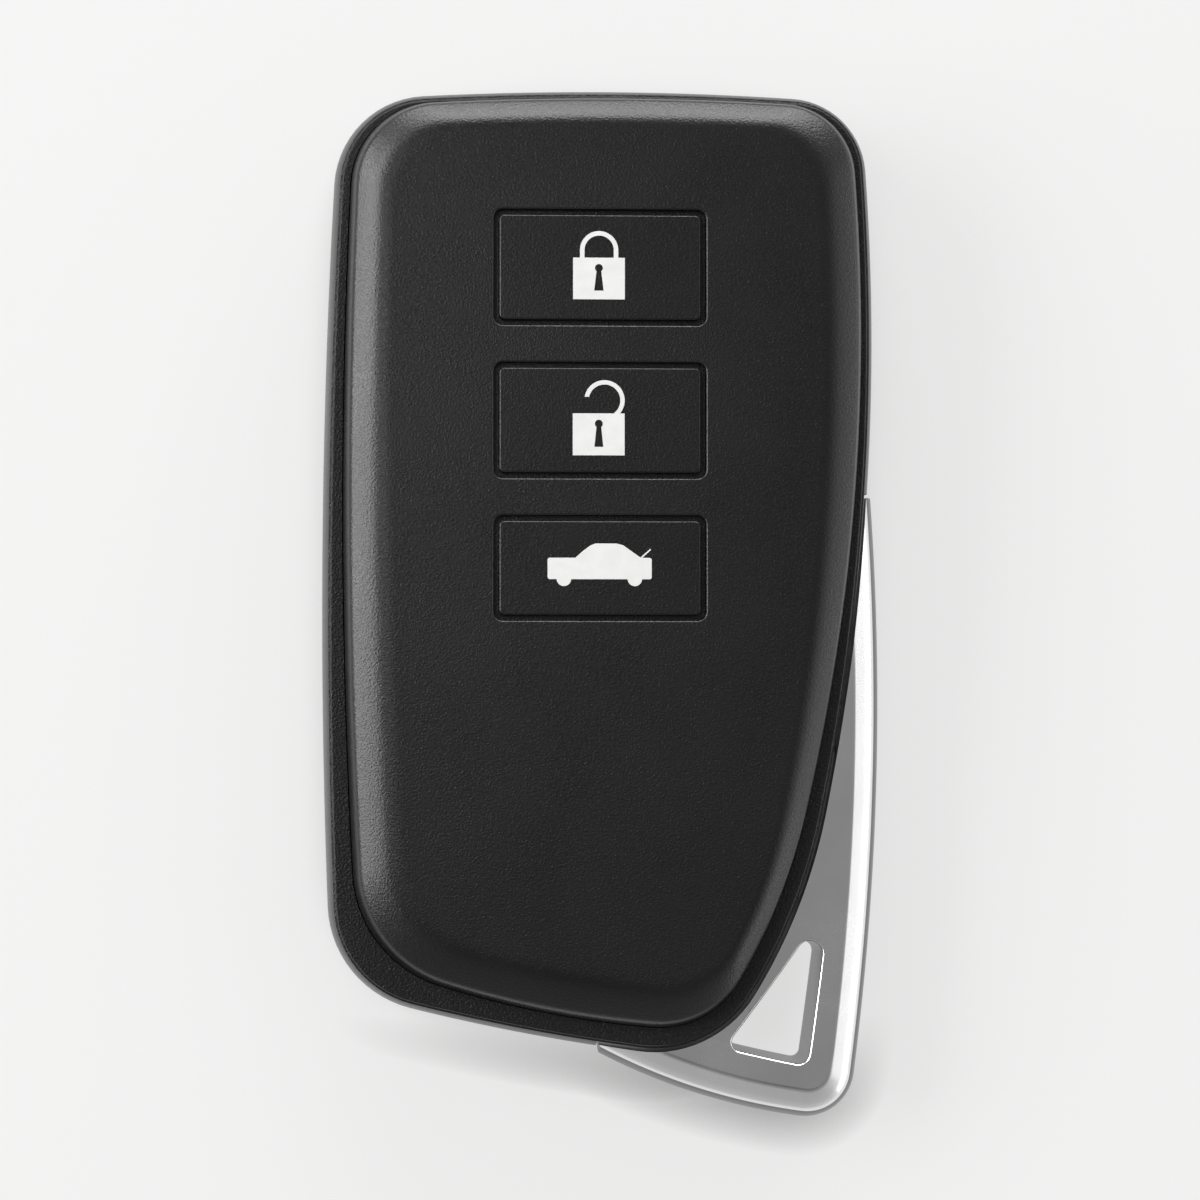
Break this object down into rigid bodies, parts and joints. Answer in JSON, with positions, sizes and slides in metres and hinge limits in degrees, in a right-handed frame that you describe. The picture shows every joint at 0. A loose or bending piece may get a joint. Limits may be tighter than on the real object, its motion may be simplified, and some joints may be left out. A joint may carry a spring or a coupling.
{
  "type": "car key fob",
  "caption": "Flat black remote car key: rear tray, raised cover with rectangular buttons, and a slide-out emergency key whose metal head fills one corner and takes a key ring.",
  "frame": {"origin": "middle of the flat back, on the surface that the fob lies on", "axes": "+Z out of the button face, +Y towards the end away from the key ring, +X towards the side with the metal key head"},
  "size_m": [0.0441, 0.0812, 0.0124],
  "materials": {
    "case_plastic": "fine grained black",
    "cover_plastic": "fine grained black",
    "cap_plastic": "fine grained black with a white printed sign",
    "slider_plastic": "satin black",
    "frame_plastic": "moulded dark grey",
    "silicone": "grey silicone",
    "seal_rubber": "soft black",
    "board_laminate": "green solder mask",
    "head_chrome": "satin chrome",
    "key_steel": "milled nickel-plated steel",
    "spring_steel": "bright spring sheet",
    "cell_steel": "brushed can",
    "chip_resin": "black resin",
    "ceramic": "tan ceramic with tinned ends",
    "ferrite": "dark ferrite",
    "copper": "enamelled copper"
  },
  "bodies": {
    "case": {"rear_case": "case_plastic", "seal_gasket": "seal_rubber", "inner_frame": "frame_plastic", "circuit_board": "board_laminate", "battery_holder": "frame_plastic", "battery_cover": "frame_plastic", "coin_cell": "cell_steel", "positive_contact": "spring_steel", "negative_contact": "spring_steel", "control_chip": "chip_resin", "radio_chip": "chip_resin", "crystal": "cell_steel", "chip_capacitors": "ceramic", "chip_resistors": "chip_resin", "radio_antenna": "copper", "wake_coil_x_core": "ferrite", "wake_coil_x_winding": "copper", "wake_coil_y_core": "ferrite", "wake_coil_y_winding": "copper", "transponder_core": "ferrite", "transponder_winding": "copper", "key_catch": "spring_steel", "release_spring": "spring_steel", "lock_snap_dome": "spring_steel", "unlock_snap_dome": "spring_steel", "trunk_snap_dome": "spring_steel"},
    "cover": {"front_cover": "cover_plastic", "keypad_mat": "silicone", "lock_skirt": "silicone", "unlock_skirt": "silicone", "trunk_skirt": "silicone"},
    "key": {"key_head": "head_chrome", "key_blade": "key_steel"},
    "release": {"release_slider": "slider_plastic"},
    "lock": {"lock_button": "cap_plastic", "lock_plunger": "silicone"},
    "unlock": {"unlock_button": "cap_plastic", "unlock_plunger": "silicone"},
    "trunk": {"trunk_button": "cap_plastic", "trunk_plunger": "silicone"}
  },
  "joints": [
    {"name": "cover_lift", "type": "slide", "parent": "case", "child": "cover", "axis": [0, 0, 1], "range_m": [0, 0.015]},
    {"name": "lock_press", "type": "slide", "parent": "cover", "child": "lock", "axis": [0, 0, -1], "range_m": [0, 0.0004], "stiffness_N_per_m": 2000, "deforming": ["lock_skirt", "lock_snap_dome"]},
    {"name": "unlock_press", "type": "slide", "parent": "cover", "child": "unlock", "axis": [0, 0, -1], "range_m": [0, 0.0004], "stiffness_N_per_m": 2000, "deforming": ["unlock_skirt", "unlock_snap_dome"]},
    {"name": "trunk_press", "type": "slide", "parent": "cover", "child": "trunk", "axis": [0, 0, -1], "range_m": [0, 0.0004], "stiffness_N_per_m": 2000, "deforming": ["trunk_skirt", "trunk_snap_dome"]},
    {"name": "key_slide", "type": "slide", "parent": "case", "child": "key", "axis": [0, -1, 0], "range_m": [0, 0.052], "deforming": ["key_catch"]},
    {"name": "release_slide", "type": "slide", "parent": "case", "child": "release", "axis": [-1, 0, 0], "range_m": [0, 0.0022], "stiffness_N_per_m": 300, "deforming": ["release_spring", "key_catch"]}
  ]
}
